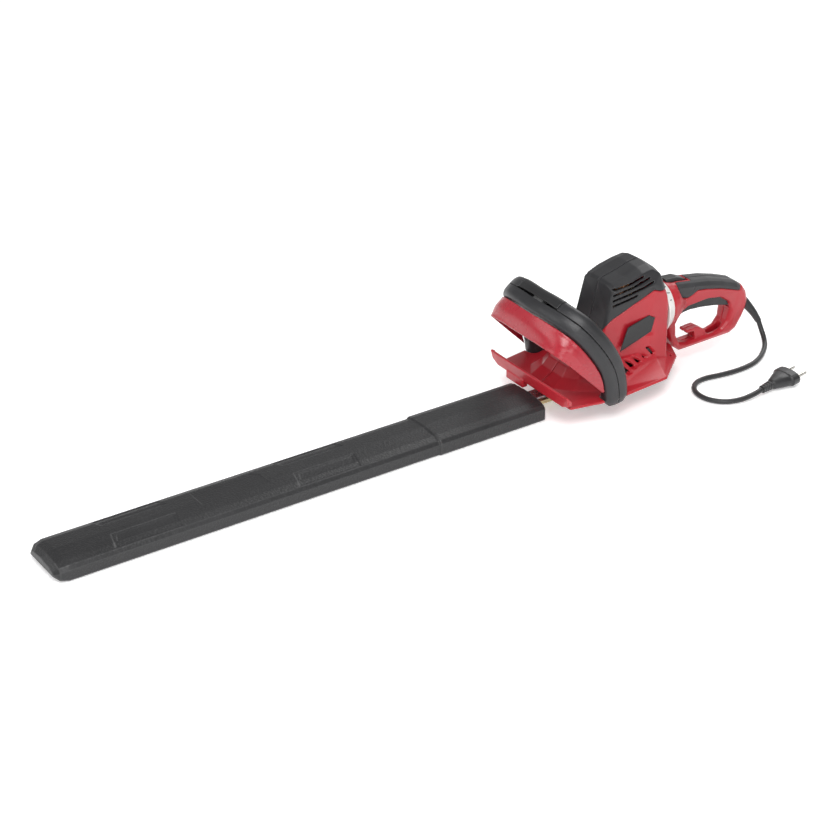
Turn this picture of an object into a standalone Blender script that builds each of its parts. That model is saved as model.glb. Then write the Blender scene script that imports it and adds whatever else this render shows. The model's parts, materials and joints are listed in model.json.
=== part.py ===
"""Electric hedge trimmer with a swivelling rear handle and a pushed-on blade guard.

Frame: +X runs forward to the blade's tip, +Y to the left, +Z up. The origin is on the flat underside
of the bottom cover, under the motor's upright shaft. Dimensions below are in millimetres; the mesh
helpers turn them into metres.
"""

import math

import bmesh
import bpy
from mathutils import Matrix, Vector

MM = 0.001

# Fits and walls
GAP = 0.3
WALL = 2.6

# Motor and gear train, both on upright axes
MOTOR_X = 0.0
GEAR_MODULE = 1.25
PINION_TEETH = 9
GEAR_TEETH = 36
GEAR_X = MOTOR_X + GEAR_MODULE * (PINION_TEETH + GEAR_TEETH) / 2
GEAR_LOW = 25.0
GEAR_HIGH = 32.0
ECCENTRIC_R = 10.0
ECCENTRIC_OFFSET = 6.0

# Blades, bar and guard
BLADE_TIP_X = 752.0
BLADE_TAIL_X = 0.0
LOWER_BLADE = (8.6, 10.8)
UPPER_BLADE = (11.2, 13.4)
BAR = (13.8, 17.2)
BLADE_HALF = 14.0
TOOTH_REACH = 26.0
TOOTH_PITCH = 32.0
FIRST_TOOTH_X = 168.0
TOOTH_COUNT = 18
BOLT_XS = (170.0, 360.0, 550.0, 730.0)
BOLT_R = 2.6
GUARD_REAR = 140.0
COLLAR_END = 294.0
GUARD_TIP = 790.0
GUARD_HALF = 36.0
GUARD_HEIGHT = 23.6
COLLAR_STEP = 1.5
# Where each pair of finger pockets in the sheath's top starts
POCKET_XS = (395.0, 628.0)

# Swivel of the rear handle, about an axis along X
SWIVEL_Z = 89.0
RING_FRONT_X = -47.3
RING_REAR_X = -61.8
RING_FRONT_R = 40.0
RING_REAR_R = 32.0
SPIGOT_R = 25.0

# Rear handle
HANDLE_HALF = 17.0
TRIGGER_PIVOT = (-166.0, 0.0, 76.0)

# Cord
CORD_R = 3.3
RELIEF_PATH = (
    (-189.5, 0, 69), (-198.0, 2.8, 59), (-204.6, 8.6, 49.4), (-209.8, 15.6, 39.8), (-214.4, 21.0, 29.1),
)
TIP_DIRECTION = (-0.2, 0.324, -0.925)

RED = (0.55, 0.03, 0.045)
BLACK = (0.035, 0.036, 0.038)
STEEL = (0.55, 0.55, 0.56)
COPPER = (0.62, 0.28, 0.12)


# ---------------------------------------------------------------- helpers


def clear_scene():
    for old in list(bpy.data.objects):
        bpy.data.objects.remove(old, do_unlink=True)


def principled(name, colour, roughness, metallic=0.0):
    made = bpy.data.materials.get(name)
    if made:
        return made
    made = bpy.data.materials.new(name)
    made.use_nodes = True
    shader = made.node_tree.nodes["Principled BSDF"]
    shader.inputs["Base Color"].default_value = (*colour, 1.0)
    shader.inputs["Roughness"].default_value = roughness
    shader.inputs["Metallic"].default_value = metallic
    return made


def place(name, shape, look, pivot=(0.0, 0.0, 0.0)):
    """An object with its origin at pivot, from a bmesh in millimetres in the shared frame."""
    bmesh.ops.recalc_face_normals(shape, faces=shape.faces)
    bmesh.ops.translate(shape, verts=shape.verts, vec=-Vector(pivot))
    bmesh.ops.scale(shape, verts=shape.verts, vec=(MM, MM, MM))
    mesh = bpy.data.meshes.new(name)
    shape.to_mesh(mesh)
    shape.free()
    mesh.shade_smooth()
    mesh.set_sharp_from_angle(angle=math.radians(32))
    made = bpy.data.objects.new(name, mesh)
    made.location = Vector(pivot) * MM
    if look:
        mesh.materials.append(look)
    bpy.context.scene.collection.objects.link(made)
    return made


def lofted(rings, joined=False):
    """A closed skin over rings of equally many points; joined closes the last ring onto the first."""
    shape = bmesh.new()
    rows = [[shape.verts.new(point) for point in ring] for ring in rings]
    count = len(rows[0])
    pairs = list(zip(rows, rows[1:] + rows[:1])) if joined else list(zip(rows, rows[1:]))
    for low, high in pairs:
        for i in range(count):
            j = (i + 1) % count
            shape.faces.new((low[i], low[j], high[j], high[i]))
    if not joined:
        shape.faces.new(rows[0])
        shape.faces.new(list(reversed(rows[-1])))
    return shape


def on_axis(axis, across, along, height):
    """A point from two coordinates across an axis and one along it."""
    if axis == "x":
        return (height, across, along)
    if axis == "y":
        return (across, height, along)
    return (across, along, height)


def prism(outline, axis, low, high):
    """The outline (across, along) drawn out along an axis between two heights."""
    return lofted([[on_axis(axis, u, v, h) for u, v in outline] for h in (low, high)])


def box(low, high):
    outline = [(low[0], low[1]), (high[0], low[1]), (high[0], high[1]), (low[0], high[1])]
    return prism(outline, "z", low[2], high[2])


def circle(radius, steps, centre=(0.0, 0.0), start=0.0):
    return [
        (
            centre[0] + radius * math.cos(start + 2 * math.pi * i / steps),
            centre[1] + radius * math.sin(start + 2 * math.pi * i / steps),
        )
        for i in range(steps)
    ]


def turned(profile, axis, centre, steps=24):
    """A solid of revolution from (radius, height) steps, flat at both ends."""
    rings = []
    for radius, height in profile:
        ring = circle(radius, steps, centre)
        rings.append([on_axis(axis, u, v, height) for u, v in ring])
    return lofted(rings)


def turned_ring(profile, axis, centre, steps=24):
    """A ring of revolution from a closed (radius, height) profile that stays off the axis."""
    rings = []
    for i in range(steps):
        angle = 2 * math.pi * i / steps
        rings.append(
            [
                on_axis(
                    axis,
                    centre[0] + radius * math.cos(angle),
                    centre[1] + radius * math.sin(angle),
                    height,
                )
                for radius, height in profile
            ]
        )
    return lofted(rings, joined=True)


def tube_profile(inner, outer, low, high):
    return [(inner, low), (outer, low), (outer, high), (inner, high)]


def stadium(centre_x, length, width, steps=6):
    """A slot's outline along X: straight sides and half-round ends."""
    half = length / 2 - width / 2
    right = [
        (
            centre_x + half + width / 2 * math.cos(math.pi * (i / steps - 0.5)),
            width / 2 * math.sin(math.pi * (i / steps - 0.5)),
        )
        for i in range(steps + 1)
    ]
    left = [
        (
            centre_x - half + width / 2 * math.cos(math.pi * (i / steps + 0.5)),
            width / 2 * math.sin(math.pi * (i / steps + 0.5)),
        )
        for i in range(steps + 1)
    ]
    return right + left


def inset(outline, distance):
    """The outline moved inwards by a distance, corner by corner."""
    moved = []
    count = len(outline)
    turning = sum(
        outline[i][0] * outline[(i + 1) % count][1] - outline[(i + 1) % count][0] * outline[i][1]
        for i in range(count)
    )
    side = 1.0 if turning > 0 else -1.0
    for i in range(count):
        before = Vector(outline[i - 1])
        here = Vector(outline[i])
        after = Vector(outline[(i + 1) % count])
        first = (here - before).normalized()
        second = (after - here).normalized()
        normal = Vector((-(first + second).y, (first + second).x)).normalized() * side
        lean = max(0.5, normal.dot(Vector((-first.y, first.x)) * side))
        moved.append(tuple(here + normal * distance / lean))
    return moved


def band(path, width):
    """A strip of even width along an open path, as an outline."""
    points = [Vector(p) for p in path]
    left, right = [], []
    for i, point in enumerate(points):
        along = (points[min(i + 1, len(points) - 1)] - points[max(i - 1, 0)]).normalized()
        side = Vector((-along.y, along.x)) * width / 2
        left.append(tuple(point + side))
        right.append(tuple(point - side))
    return left + right[::-1]


def helper(name, shape):
    """A cutter: drawn as wire and left out of renders."""
    made = place(name, shape, None)
    made.hide_render = True
    made.display_type = "WIRE"
    return made


def combine(target, other, operation="DIFFERENCE"):
    step = target.modifiers.new(f"{operation.lower()} {other.name}", "BOOLEAN")
    step.operation = operation
    step.solver = "EXACT"
    step.object = other


def smooth_path(points, steps):
    """Points along a Catmull-Rom curve through the given points."""
    found = []
    ends = [points[0] * 2 - points[1]] + points + [points[-1] * 2 - points[-2]]
    for i in range(1, len(ends) - 2):
        for k in range(steps):
            t = k / steps
            a, b, c, d = ends[i - 1], ends[i], ends[i + 1], ends[i + 2]
            found.append(
                0.5
                * (
                    2 * b
                    + (c - a) * t
                    + (2 * a - 5 * b + 4 * c - d) * t**2
                    + (3 * b - a - 3 * c + d) * t**3
                )
            )
    found.append(points[-1].copy())
    return found


# ---------------------------------------------------------------- housing

# Half plan of the skirt at each height: (x, y) from the front to the rear
SKIRT = (
    (19.0, ((118, 50), (84, 62), (62, 66), (-14, 60), (-52, 28), (-60, 8))),
    (24.0, ((126, 64), (86, 76), (62, 78), (-16, 71), (-62, 33), (-74, 9))),
    (28.0, ((130, 73), (87, 81), (62, 83), (-17, 76), (-65, 37), (-78, 10))),
    (30.5, ((130, 73), (87, 80), (62, 82), (-17, 75), (-64, 36), (-77, 10))),
    (31.5, ((119, 22), (104, 42), (70, 66), (-16, 72), (-62, 34), (-73, 9))),
    (41.0, ((103, 20), (90, 36), (64, 44.6), (-25, 44), (-47, 31), (-51, 8))),
    (52.0, ((94, 18), (82, 32), (60, 39), (-24, 39), (-42, 28), (-43.5, 8))),
)

# Stations of the motor housing: top x, top z, foot x, most half width there
MOTOR_STATIONS = (
    (37.0, 146.5, 65.0, 26.5),
    (33.0, 149.0, 61.0, 29.5),
    (13.0, 153.5, 36.0, 33.5),
    (-8.0, 159.5, 8.0, 36.5),
    (-23.0, 161.5, -14.0, 99.0),
    (-34.0, 154.0, -31.0, 99.0),
    (-42.0, 139.0, -42.0, 99.0),
    (-46.2, 122.0, -46.2, 37.0),
)
MOTOR_FOOT_Z = 36.0
# Half width of the motor housing against height
MOTOR_WIDTHS = ((36, 42.6), (60, 41.5), (90, 40), (120, 38.5), (138, 36.5), (154, 30.5), (170, 26))
SIDE_SHARES = (0.0, 0.25, 0.5, 0.7, 0.85, 1.0)
# Radius that each of the last stations rounds off to
REAR_RADII = {5: 74.0, 6: 54.0, 7: 41.5}

# Parting line between the red housing and the black cap, seen from the side
CAP_LINE = (
    (90, 60), (60, 77), (52, 87), (45, 98), (36, 105), (8, 119), (-22, 131.5), (-31, 128), (-60, 125),
)


# Slots of the grille on each side of the cap
CAP_SLOTS = (
    ((35, 142.5), (-9, 151)), ((35.5, 135.5), (-18, 147.5)), ((36, 128.5), (-23, 142)),
    ((36.5, 121.5), (2, 130)),
)  # fmt: skip
# Side louvres, counted from the rear one forwards
VENT_COUNT = 5
VENT_FRONT_X = -9.5
VENT_TOP_Z = 58.3
VENT_PITCH = 11.6
# Distance of the badge panel's seat from the centre plane
BADGE_Y = 39.2


def half_width(z):
    for (z0, w0), (z1, w1) in zip(MOTOR_WIDTHS, MOTOR_WIDTHS[1:]):
        if z <= z1:
            return w0 + (w1 - w0) * (max(z, z0) - z0) / (z1 - z0)
    return MOTOR_WIDTHS[-1][1]


def rear_limit(station, z):
    """Half width left by the round boss that the rear end narrows to, about the swivel axis."""
    radius = REAR_RADII.get(station)
    if radius is None or z < SWIVEL_Z:
        return 99.0
    return math.sqrt(max(16.0, radius**2 - (z - SWIVEL_Z) ** 2))


def plan_ring(half, z, shrink=0.0):
    """A whole ring from the left half of a plan."""
    if shrink:
        mirrored = list(half) + [(x, -y) for x, y in reversed(half)]
        return [(x, y, z) for x, y in inset(mirrored, shrink)]
    return [(x, y, z) for x, y in half] + [(x, -y, z) for x, y in reversed(half)]


def skirt():
    return lofted([plan_ring(half, z) for z, half in SKIRT])


def skirt_hollow():
    """The room inside the skirt, open below."""
    plans = dict(SKIRT)
    levels = (
        (10.0, 19.0), (19.0, 19.0), (23.6, 24.0), (26.2, 28.0), (28.2, 31.5), (38.5, 41.0), (49.5, 52.0),
    )
    return lofted([plan_ring(plans[source], z, WALL) for z, source in levels])


def motor_body(shrink=0.0, foot=MOTOR_FOOT_Z):
    """The motor housing's outer form, or with shrink the hollow inside it."""
    rings = []
    for k, (top_x, top_z, foot_x, limit) in enumerate(MOTOR_STATIONS):
        nudge = -shrink if k < 2 else (shrink if k > 5 else 0.0)
        shoulder = top_z - 5.0 - shrink
        left = []
        for part in SIDE_SHARES:
            z = foot + part * (shoulder - foot)
            x = foot_x + part * (top_x - foot_x) + nudge
            left.append((x, min(half_width(z), limit, rear_limit(k, z)) - shrink, z))
        width = left[-1][1]
        left.append((top_x + nudge, width * 0.6, shoulder + 3.8))
        right = [(x, -y, z) for x, y, z in reversed(left)]
        rings.append(left + [(top_x + nudge, 0.0, shoulder + 5.0)] + right)
    return lofted(rings)


def side_box(name, left, reach=200.0):
    """All of the space on one side of the centre plane, short of it by half a gap."""
    low, high = (GAP / 2, reach) if left else (-reach, -GAP / 2)
    return helper(name, box((-400, low, -50), (900, high, 400)))


def cap_region(name, lift):
    """The space above the cap's parting line."""
    line = [(x, z + lift) for x, z in CAP_LINE]
    above = [(-90, 125 + lift), (-90, 260), (120, 260), (120, 60 + lift)]
    return helper(name, prism(line + above, "y", -90, 90))


def housing_pieces(red, black, dark):
    outer_skirt = helper("skirt_form", skirt())
    hollow_motor = helper("motor_hollow", motor_body(WALL, MOTOR_FOOT_Z - 8.0))
    hollow = helper("housing_hollow", skirt_hollow())
    combine(hollow, hollow_motor, "UNION")
    cover_well = helper("cover_well", box((-55.5, -38.5, 10), (99, 38.5, 34)))
    combine(hollow, cover_well, "UNION")
    spigot_bore = helper(
        "spigot_bore", turned([(SPIGOT_R + GAP, -75), (SPIGOT_R + GAP, -38)], "x", (0, SWIVEL_Z)),
    )
    vents = [(side, vent_space(side, k)) for side in (1, -1) for k in range(VENT_COUNT)]
    badge = badge_outline(0.0)
    loop_seat = helper("loop_seat", loop_form(GAP))
    for side, name in ((True, "left"), (False, "right")):
        half = side_box(f"half_{name}", side)
        shell = place(f"housing_{name}", motor_body(), red)
        combine(shell, outer_skirt, "UNION")
        combine(shell, hollow)
        combine(shell, spigot_bore)
        combine(shell, loop_seat)
        combine(shell, cap_region(f"cap_space_{name}", -GAP / 2))
        sign = 1 if side else -1
        low, high = sorted((sign * (BADGE_Y - 1.1), sign * 60.0))
        combine(shell, helper(f"badge_recess_{name}", prism(badge, "y", low, high)))
        bevel = [(-1.0, BADGE_Y), (-6.0, BADGE_Y + 2.2), (-6.0, 60.0)]
        rings = [[(x, sign * y, z) for x, z in badge_outline(grow)] for grow, y in bevel]
        combine(shell, helper(f"badge_bevel_{name}", lofted(rings)))
        for vent_sign, vent in vents:
            if vent_sign == sign:
                combine(shell, vent)
        combine(shell, half, "INTERSECT")

        cap = place(f"motor_cover_{name}", motor_body(), black)
        combine(cap, hollow_motor)
        combine(cap, spigot_bore)
        combine(cap, cap_region(f"cap_side_{name}", GAP / 2), "INTERSECT")
        low, high = sorted((sign * 15.0, sign * 60.0))
        for k, line in enumerate(CAP_SLOTS):
            combine(cap, helper(f"cap_slot_{name}_{k}", prism(band(line, 2.4), "y", low, high)))
        combine(cap, half, "INTERSECT")

        low, high = sorted((sign * (BADGE_Y - 0.8), sign * (BADGE_Y + 0.2)))
        place(f"badge_panel_{name}", prism(badge_outline(GAP), "y", low, high), dark)


def vent_space(side, k):
    """A leaning louvre: it breaks through at its front edge and runs out to the surface at its rear one."""
    front, top = VENT_FRONT_X + VENT_PITCH * k, VENT_TOP_Z - 2.3 * k
    slot = [(front, top), (front - 6.5, top + 0.3), (front - 16.5, top - 12.0), (front - 10.0, top - 12.3)]
    inner = (37.4, 41.0, 41.4, 37.8)
    rings = [[(x, side * y, z) for (x, z), y in zip(slot, depths)] for depths in (inner, (60.0,) * 4)]
    return helper(f"vent_{side}_{k}", lofted(rings))


def badge_outline(shrink):
    outline = [(19, 93), (-14, 101), (-24, 95), (-19, 77), (30, 62)]
    return inset(outline, shrink) if shrink else outline


def front_lip(red):
    """The upright deflector across the skirt's front, above the blades."""
    rings = []
    for y, low, high in (
        (-79, 44, 47), (-77, 36, 48), (-66, 31, 47.5), (66, 31, 47.5), (77, 36, 48), (79, 44, 47),
    ):
        rings.append([(130.6, y, low), (137.0, y, low), (140.0, y, high), (136.8, y, high)])
    lip = place("front_lip", lofted(rings), red)
    combine(lip, helper("lip_boss", box((131, -46, 23), (138.5, -12, 33))), "UNION")


def bottom_cover(black):
    half = ((97, 30), (90, 37.5), (-50, 37.5), (-54.5, 33))
    cover = place(
        "bottom_cover", lofted([plan_ring(half, 0.0, 3.0), plan_ring(half, 3.0), plan_ring(half, 33.0)]),
        black,
    )
    room = [plan_ring(half, 3.0, WALL), plan_ring(half, 40.0, WALL)]
    combine(cover, helper("cover_room", lofted(room)))
    combine(cover, helper("blade_exit", box((85, -28.5, 4.5), (110, 28.5, 40.0))))


# ---------------------------------------------------------------- gears and blades


def gear_outline(teeth, slim, phase, centre_x, root_cut=1.1, tip_add=0.85):
    """Teeth with straight flanks, thinned by slim (radians) for running clearance."""
    pitch_r = GEAR_MODULE * teeth / 2
    quarter = math.pi / (2 * teeth)
    root = pitch_r - root_cut * GEAR_MODULE
    tip = pitch_r + tip_add * GEAR_MODULE
    outline = []
    for k in range(teeth):
        middle = phase + 2 * math.pi * k / teeth
        flank = math.tan(math.radians(20)) * GEAR_MODULE
        foot = quarter - slim + root_cut * flank / pitch_r
        head = max(0.15 * quarter, quarter - slim - tip_add * flank / pitch_r)
        for radius, angle in ((root, -foot), (tip, -head), (tip, head), (root, foot)):
            outline.append(
                (centre_x + radius * math.cos(middle + angle), radius * math.sin(middle + angle))
            )
    return outline


def gear_pieces(steel, alloy, bronze):
    pinion = gear_outline(PINION_TEETH, 0.035, 0.0, MOTOR_X)
    pinion_gear = place("motor_pinion", prism(pinion, "z", GEAR_LOW, GEAR_HIGH), steel, (MOTOR_X, 0, 0))
    combine(
        pinion_gear,
        helper("pinion_bore", turned([(2.5 + GAP, 10), (2.5 + GAP, 50)], "z", (MOTOR_X, 0), 12)),
    )
    # A gap of the gear faces the pinion's first tooth along the line of centres
    facing = math.pi + math.pi / GEAR_TEETH
    wheel = gear_outline(GEAR_TEETH, 0.009, facing, GEAR_X)
    gear = place("drive_gear", prism(wheel, "z", GEAR_LOW, GEAR_HIGH), steel, (GEAR_X, 0, 0))
    combine(gear, helper("gear_bore", turned([(6.0, 10), (6.0, 50)], "z", (GEAR_X, 0), 16)))

    shaft = place(
        "eccentric_shaft",
        turned([(5.7, GEAR_LOW - 8.0), (5.7, 37.5)], "z", (GEAR_X, 0), 16),
        steel,
        (GEAR_X, 0, 0),
    )
    for name, offset, span in (
        ("upper", ECCENTRIC_OFFSET, (UPPER_BLADE[0] - 0.1, GEAR_LOW - 7.5)),
        ("lower", -ECCENTRIC_OFFSET, (LOWER_BLADE[0] - 1.0, UPPER_BLADE[0] + 0.2)),
    ):
        disc = turned([(ECCENTRIC_R, span[0]), (ECCENTRIC_R, span[1])], "z", (GEAR_X, offset), 20)
        combine(shaft, helper(f"eccentric_{name}", disc), "UNION")

    case_plan = [
        (GEAR_X + 29 * math.cos(a), 29 * math.sin(a))
        for a in [math.radians(-110 + 22 * k) for k in range(11)]
    ] + [(-12, 14), (-12, -14)]
    case = place("gear_case", prism(case_plan, "z", 22.3, 38.5), alloy)
    combine(case, helper("gear_room", prism(inset(case_plan, 3.0), "z", 10, 34.5)))
    combine(case, helper("gear_seat", turned([(9.2, 30), (9.2, 45)], "z", (GEAR_X, 0), 20)))
    combine(case, helper("motor_seat", turned([(6.0, 30), (6.0, 45)], "z", (MOTOR_X, 0), 16)))
    plate = place("gear_case_plate", prism(case_plan, "z", 19.3, 22.0), alloy)
    combine(plate, helper("shaft_hole", turned([(6.5, 10), (6.5, 30)], "z", (GEAR_X, 0), 16)))
    bearing = turned_ring(tube_profile(6.0, 8.9, 34.6, 38.3), "z", (GEAR_X, 0), 20)
    place("gear_bearing", bearing, bronze)


def blade_outline(shift):
    """One blade seen from above: narrow tail, straight back and teeth on both edges."""
    upper = [(BLADE_TAIL_X, 20.5), (56.0, 20.5), (66.0, BLADE_HALF)]
    for k in range(TOOTH_COUNT):
        x = FIRST_TOOTH_X + TOOTH_PITCH * k + shift
        upper += [(x - 9, BLADE_HALF), (x - 4, TOOTH_REACH), (x + 3, TOOTH_REACH), (x + 8, BLADE_HALF)]
    upper += [(BLADE_TIP_X - 6, BLADE_HALF), (BLADE_TIP_X, BLADE_HALF - 7)]
    return upper + [(x, -y) for x, y in reversed(upper)]


def blade_pieces(blade_metal, steel):
    window = (GEAR_X - 22.6, GEAR_X + 22.6)
    yoke = helper("yoke_window", box((window[0], -16.6, 5), (window[1], 16.6, 20)))
    slots = [
        helper(f"bolt_slot_{k}", prism(stadium(x, 19.5, 6.4), "z", 5, 25)) for k, x in enumerate(BOLT_XS)
    ]
    for name, span, shift in (("blade_lower", LOWER_BLADE, 0.0), ("blade_upper", UPPER_BLADE, 0.0)):
        blade = place(name, prism(blade_outline(shift), "z", *span), blade_metal)
        combine(blade, yoke)
        for slot in slots:
            combine(blade, slot)

    bar_outline = [(60, -10), (744, -10), (750, -5), (750, 5), (744, 10), (60, 10)]
    bar = place("blade_bar", prism(bar_outline, "z", *BAR), steel)
    for k, x in enumerate(BOLT_XS):
        combine(
            bar,
            helper(f"bar_hole_{k}", turned([(BOLT_R + GAP, 5), (BOLT_R + GAP, 25)], "z", (x, 0), 12)),
        )
        bolt = turned([(5.2, 5.6), (5.2, 8.3), (BOLT_R, 8.3), (BOLT_R, 20.8)], "z", (x, 0), 12)
        place(f"blade_bolt_{k + 1}", bolt, steel)
        nut = place(f"blade_nut_{k + 1}", prism(circle(4.6, 6, (x, 0)), "z", BAR[1] + GAP, 20.4), steel)
        combine(
            nut,
            helper(f"nut_bore_{k}", turned([(BOLT_R + GAP, 5), (BOLT_R + GAP, 25)], "z", (x, 0), 12)),
        )


def guard_ring(x, grow, low=0.0, shrink=0.0):
    """The guard's section: flat below, upright flanks and a slightly crowned top."""
    half = GUARD_HALF + grow - shrink
    top = GUARD_HEIGHT + grow - shrink
    base = low + shrink
    left = [
        (half - 2.5, base), (half, base + 2.5), (half, top - 9), (half - 3.5, top - 4.5),
        (half - 12, top - 1.8),
    ]
    right = [(-y, z) for y, z in reversed(left)]
    return [(x, y, z) for y, z in left + [(0, top)] + right]


def blade_guard(black):
    stations = (
        (GUARD_REAR, COLLAR_STEP),
        (COLLAR_END - 2, COLLAR_STEP),
        (COLLAR_END, 0.0),
        (GUARD_TIP - 16, 0.0),
        (GUARD_TIP - 6, -2.0),
        (GUARD_TIP, -7.0),
    )
    guard = place(
        "blade_guard", lofted([guard_ring(x, grow, max(0.0, -grow)) for x, grow in stations]), black
    )
    inner = [guard_ring(x, 0.0, 0.0, 2.6) for x in (GUARD_REAR - 10, GUARD_TIP - 12)]
    combine(guard, helper("guard_room", lofted(inner)))
    for k, x in enumerate(POCKET_XS):
        for side, root in (("near", 7), ("far", -15)):
            sign = 1 if root > 0 else -1
            pocket = [(x + 82, root), (x, root), (x + 5, sign * 31), (x + 88, sign * 31)]
            groove = [
                (x + 77, root + sign * 3), (x + 4, root + sign * 3), (x + 8, sign * 22),
                (x + 81, sign * 22),
            ]
            for name, plan, depth in (("pocket", pocket, 0.7), ("groove", groove, 1.2)):
                space = helper(f"guard_{name}_{side}_{k}", prism(plan, "z", 15, 40))
                floor = [guard_ring(end, 0.0, 0.0, depth) for end in (GUARD_REAR, GUARD_TIP)]
                combine(space, helper(f"guard_{name}_floor_{side}_{k}", lofted(floor)))
                combine(guard, space)
    panel = [(597, 13), (596, -22), (517, -22), (509, -14), (509, 13)]
    rings = [[(x, y, 22.8 - 0.04 * (13 - y)) for x, y in panel], [(x, y, 40.0) for x, y in panel]]
    combine(guard, helper("guard_panel", lofted(rings)))


# ---------------------------------------------------------------- motor


def motor_pieces(steel, core, copper, alloy, brass, carbon, plastic):
    centre = (MOTOR_X, 0)
    axis = (MOTOR_X, 0, 0)
    shaft_steps = [(2.5, 24.0), (2.5, 39.0), (4.0, 39.0), (4.0, 148.0)]
    place("motor_shaft", turned(shaft_steps, "z", centre, 16), steel, axis)
    shell = 4.0 + GAP
    place("armature_core", turned_ring(tube_profile(shell, 17.0, 72, 112), "z", centre), core, axis)
    place("commutator", turned_ring(tube_profile(shell, 10.0, 121, 134), "z", centre, 20), copper, axis)

    fan = place(
        "cooling_fan",
        turned_ring([(shell, 55), (26, 55), (26, 56.5), (9, 58), (9, 65), (shell, 65)], "z", centre),
        plastic, axis,
    )
    for k in range(8):
        angle = math.radians(45 * k)
        blade = box((8.0, -0.8, 55.4), (25.0, 0.8, 64.0))
        bmesh.ops.rotate(blade, verts=blade.verts, cent=(0, 0, 0), matrix=Matrix.Rotation(angle, 3, "Z"))
        combine(fan, helper(f"fan_blade_{k}", blade), "UNION")

    place("lower_motor_bearing", turned_ring(tube_profile(shell, 10.5, 44, 50), "z", centre, 20), steel)
    place("upper_motor_bearing", turned_ring(tube_profile(shell, 9.5, 139, 145), "z", centre, 20), steel)
    plate = [
        (44, 20), (32, 27), (8, 33), (-30, 34), (-39, 26), (-39, -26), (-30, -34), (8, -33), (32, -27),
        (44, -20),
    ]
    bulkhead = place("motor_bulkhead", prism(plate, "z", 43, 51.5), alloy)
    combine(bulkhead, helper("bulkhead_seat", turned([(10.5 + GAP, 40), (10.5 + GAP, 51)], "z", centre, 20)))
    combine(bulkhead, helper("bulkhead_hole", turned([(7.0, 40), (7.0, 60)], "z", centre, 16)))

    stator = place("field_core", turned([(28.5, 74), (28.5, 110)], "z", centre), core)
    combine(stator, helper("stator_bore", turned([(18.6, 60), (18.6, 120)], "z", centre)))
    for name, sign in (("front", 1), ("rear", -1)):
        low, high = sorted((sign * 20.0, sign * 27.5))
        coil = place(
            f"field_coil_{name}",
            prism([(low, -13), (high, -10), (high, 10), (low, 13)], "z", 110.4, 117.0), copper,
        )
        coil.data.materials[0] = copper
    for name, sign in (("left", 1), ("right", -1)):
        low, high = sorted((sign * 12.5, sign * 25.5))
        holder = place(f"brush_holder_{name}", box((-5.5, low, 122.5), (5.5, high, 132.5)), brass)
        cut_low, cut_high = sorted((sign * 5.0, sign * 24.0))
        combine(holder, helper(f"brush_slot_{name}", box((-3.4, cut_low, 124.4), (3.4, cut_high, 130.6))))
        low, high = sorted((sign * 10.4, sign * 22.0))
        place(f"carbon_brush_{name}", box((-3.1, low, 124.7), (3.1, high, 130.3)), carbon)


# ---------------------------------------------------------------- front loop handle

# Centre line of the loop's left half, from its foot to the middle of the top bar
LOOP_PATH = (
    (66, 75.5, 22),
    (69, 77, 48),
    (78, 77.5, 76),
    (94, 75, 103),
    (111, 67, 126),
    (121, 48, 136.5),
    (125.5, 24, 140.5),
    (127, 0, 141),
)
# Free edge of the visor against the same places, from where it starts
VISOR_EDGE = (
    (87, 79, 41),
    (112, 80, 66),
    (133, 77, 87),
    (148, 68, 101),
    (153, 48, 106),
    (154, 24, 107),
    (154, 0, 107),
)
LOOP_LONG = 17.0
LOOP_THICK = 11.0
LOOP_STEPS = 5
# How far the section closes in at the foot, ring by ring
FOOT_SHARES = (0.72, 0.92)


def mirrored_path(points):
    left = [Vector(p) for p in points]
    return left + [Vector((p.x, -p.y, p.z)) for p in reversed(left[:-1])]


def loop_frames():
    """Centre, forward direction and outward direction at each place along the loop."""
    centres = smooth_path(mirrored_path(LOOP_PATH), LOOP_STEPS)
    frames = []
    for i, centre in enumerate(centres):
        along = (centres[min(i + 1, len(centres) - 1)] - centres[max(i - 1, 0)]).normalized()
        height = (centre.z - LOOP_PATH[0][2]) / (LOOP_PATH[-1][2] - LOOP_PATH[0][2])
        lean = math.radians(4 + 34 * height)
        guide = Vector((math.cos(lean), 0, -math.sin(lean)))
        forward = (guide - along * guide.dot(along)).normalized()
        outward = forward.cross(along).normalized()
        if outward.dot(centre - Vector((90, 0, 60))) < 0:
            outward = -outward
        frames.append((centre, forward, outward))
    return frames


def loop_section(long_half, thick_half, start, end, steps, power=0.62):
    """Points of a rounded oblong between two angles, long axis first."""
    points = []
    for k in range(steps + 1):
        angle = math.radians(start + (end - start) * k / steps)
        c, s = math.cos(angle), math.sin(angle)
        points.append(
            (
                long_half * math.copysign(abs(c) ** power, c),
                thick_half * math.copysign(abs(s) ** power, s),
            )
        )
    return points


def loop_form(grow):
    """The loop as one solid, grown all round: the room that it takes in its neighbours."""
    section = loop_section(LOOP_LONG + grow, LOOP_THICK + grow, 0, 345, 23)
    frames = loop_frames()
    rings = [[c + f * u + o * v for u, v in section] for c, f, o in frames]
    drop = Vector((0, 0, -4))
    return lofted([[p + drop for p in rings[0]]] + rings + [[p + drop for p in rings[-1]]])


def loop_half(front):
    """One moulded half of the loop: a channel that is open towards the parting line."""
    seam = 89.97
    start, end = (-seam, seam) if front else (180 - seam, 180 + seam)
    outer = loop_section(LOOP_LONG, LOOP_THICK, start, end, 8)
    inner = loop_section(LOOP_LONG - WALL, LOOP_THICK - WALL, end, start, 8)
    frames = loop_frames()
    rings = []
    for k, (centre, forward, outward) in enumerate(frames):
        from_foot = min(k, len(frames) - 1 - k)
        share = FOOT_SHARES[from_foot] if from_foot < len(FOOT_SHARES) else 1.0
        rings.append([centre + (forward * u + outward * v) * share for u, v in outer + inner])
    return lofted(rings)


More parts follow.
